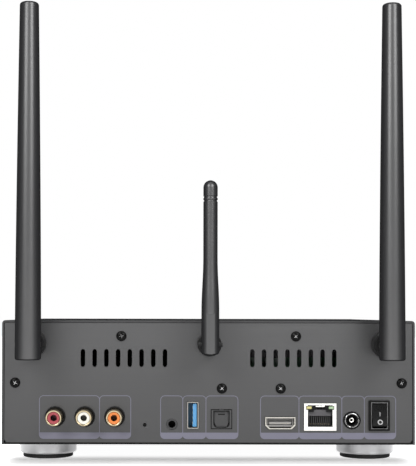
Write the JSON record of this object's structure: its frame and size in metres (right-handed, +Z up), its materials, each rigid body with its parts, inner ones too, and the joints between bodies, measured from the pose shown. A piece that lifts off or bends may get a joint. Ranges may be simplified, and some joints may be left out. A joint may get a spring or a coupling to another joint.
{
  "type": "media player",
  "caption": "Desktop media player with a sliding hard drive tray, rear connector panel, swivelling and folding antennas, rocker switch and round metal feet.",
  "frame": {"origin": "on the surface that the four feet stand on, at the middle of the whole object's footprint", "axes": "+Z up, +Y out of the connector panel at the rear, -Y out of the front with its drive tray, +X to the right seen from the front"},
  "size_m": [0.205, 0.2266, 0.223],
  "materials": {
    "cover_paint": "satin dark grey paint",
    "panel_paint": "satin mid grey paint, faintly brushed",
    "front_aluminium": "brushed and anodised dark grey",
    "foot_metal": "turned and polished",
    "foot_rubber": "matt",
    "screw_steel": "black oxide",
    "board_green": "solder mask",
    "sink_aluminium": "satin",
    "zinc_steel": "zinc plated sheet",
    "drive_casting": "cast, satin",
    "lever_aluminium": "satin anodised",
    "button_metal": "turned",
    "black_plastic": "moulded, fine texture",
    "antenna_plastic": "moulded, satin",
    "gold_plate": "gold plated",
    "nickel_plate": "nickel plated sheet",
    "blue_plastic": "moulded",
    "red_plastic": "moulded",
    "white_plastic": "moulded",
    "orange_plastic": "moulded",
    "window_plastic": "smoked, polished"
  },
  "bodies": {
    "chassis": {"top_cover": "cover_paint", "base_plate": "zinc_steel", "rear_panel": "panel_paint", "front_panel": "front_aluminium", "foot_rear_right": "foot_metal", "foot_rear_left": "foot_metal", "foot_front_right": "foot_metal", "foot_front_left": "foot_metal", "foot_pad_rear_right": "foot_rubber", "foot_pad_rear_left": "foot_rubber", "foot_pad_front_right": "foot_rubber", "foot_pad_front_left": "foot_rubber", "rear_screw_top_right": "screw_steel", "rear_screw_top_left": "screw_steel", "rear_screw_side_right": "screw_steel", "rear_screw_side_left": "screw_steel", "rear_screw_cage_right": "screw_steel", "rear_screw_cage_left": "screw_steel", "main_board": "board_green", "heat_sink": "sink_aluminium", "front_board": "board_green", "drive_cage": "zinc_steel", "drive_backplane": "board_green", "display_window": "window_plastic", "phono_block": "black_plastic", "phono_sleeve_red": "gold_plate", "phono_sleeve_white": "gold_plate", "phono_sleeve_orange": "gold_plate", "phono_insert_red": "red_plastic", "phono_insert_white": "white_plastic", "phono_insert_orange": "orange_plastic", "ir_jack": "black_plastic", "data_socket_shell": "nickel_plate", "data_socket_tongue": "blue_plastic", "optical_housing": "black_plastic", "video_socket_shell": "nickel_plate", "video_socket_tongue": "black_plastic", "network_socket_shield": "nickel_plate", "network_socket_insert": "black_plastic", "inlet_housing": "black_plastic", "inlet_barrel": "nickel_plate", "switch_housing": "black_plastic", "antenna_jack_right": "gold_plate", "antenna_jack_centre": "gold_plate", "antenna_jack_left": "gold_plate"},
    "drive_tray": {"tray_sled": "zinc_steel", "hard_drive": "drive_casting", "tray_front": "front_aluminium"},
    "tray_lever": {"tray_lever": "lever_aluminium"},
    "tray_latch_button": {"tray_latch_button": "lever_aluminium"},
    "power_button": {"power_button": "button_metal"},
    "switch_rocker": {"switch_rocker": "black_plastic"},
    "optical_shutter": {"optical_shutter": "black_plastic"},
    "reset_plunger": {"reset_plunger": "black_plastic"},
    "right_antenna_knuckle": {"antenna_knuckle_right": "antenna_plastic"},
    "right_antenna_whip": {"antenna_whip_right": "antenna_plastic"},
    "centre_antenna_knuckle": {"antenna_knuckle_centre": "antenna_plastic"},
    "centre_antenna_whip": {"antenna_whip_centre": "antenna_plastic"},
    "left_antenna_knuckle": {"antenna_knuckle_left": "antenna_plastic"},
    "left_antenna_whip": {"antenna_whip_left": "antenna_plastic"}
  },
  "joints": [
    {"name": "tray_slide", "type": "slide", "parent": "chassis", "child": "drive_tray", "axis": [0, -1, 0], "range_m": [0, 0.14]},
    {"name": "tray_lever_swing", "type": "hinge", "parent": "drive_tray", "child": "tray_lever", "pos_m": [-0.0892, -0.111, 0.0455], "axis": [0, 0, -1], "range_deg": [0, 75]},
    {"name": "tray_latch_press", "type": "slide", "parent": "drive_tray", "child": "tray_latch_button", "axis": [0, 1, 0], "range_m": [0, 0.0015], "stiffness_N_per_m": 400},
    {"name": "power_button_press", "type": "slide", "parent": "chassis", "child": "power_button", "axis": [0, 1, 0], "range_m": [0, 0.0009], "stiffness_N_per_m": 400},
    {"name": "power_rocker", "type": "hinge", "parent": "chassis", "child": "switch_rocker", "pos_m": [-0.0847, 0.0874, 0.023], "axis": [-1, 0, 0], "range_deg": [0, 16]},
    {"name": "optical_shutter_swing", "type": "hinge", "parent": "chassis", "child": "optical_shutter", "pos_m": [-0.0064, 0.0863, 0.0245], "axis": [-1, 0, 0], "range_deg": [0, 75], "stiffness_Nm_per_rad": 0.0005},
    {"name": "reset_press", "type": "slide", "parent": "chassis", "child": "reset_plunger", "axis": [0, -1, 0], "range_m": [0, 0.0005], "stiffness_N_per_m": 300},
    {"name": "right_antenna_swivel", "type": "hinge", "parent": "chassis", "child": "right_antenna_knuckle", "pos_m": [0.0874, 0.107, 0.0584], "axis": [0, 1, 0], "range_deg": [-25, 100]},
    {"name": "right_antenna_fold", "type": "hinge", "parent": "right_antenna_knuckle", "child": "right_antenna_whip", "pos_m": [0.0874, 0.107, 0.0584], "axis": [-1, 0, 0], "range_deg": [0, 90]},
    {"name": "centre_antenna_swivel", "type": "hinge", "parent": "chassis", "child": "centre_antenna_knuckle", "pos_m": [0, 0.107, 0.0584], "axis": [0, 1, 0], "range_deg": [-95, 95]},
    {"name": "centre_antenna_fold", "type": "hinge", "parent": "centre_antenna_knuckle", "child": "centre_antenna_whip", "pos_m": [0, 0.107, 0.0584], "axis": [-1, 0, 0], "range_deg": [0, 90]},
    {"name": "left_antenna_swivel", "type": "hinge", "parent": "chassis", "child": "left_antenna_knuckle", "pos_m": [-0.0874, 0.107, 0.0584], "axis": [0, -1, 0], "range_deg": [-25, 100]},
    {"name": "left_antenna_fold", "type": "hinge", "parent": "left_antenna_knuckle", "child": "left_antenna_whip", "pos_m": [-0.0874, 0.107, 0.0584], "axis": [-1, 0, 0], "range_deg": [0, 90]}
  ]
}
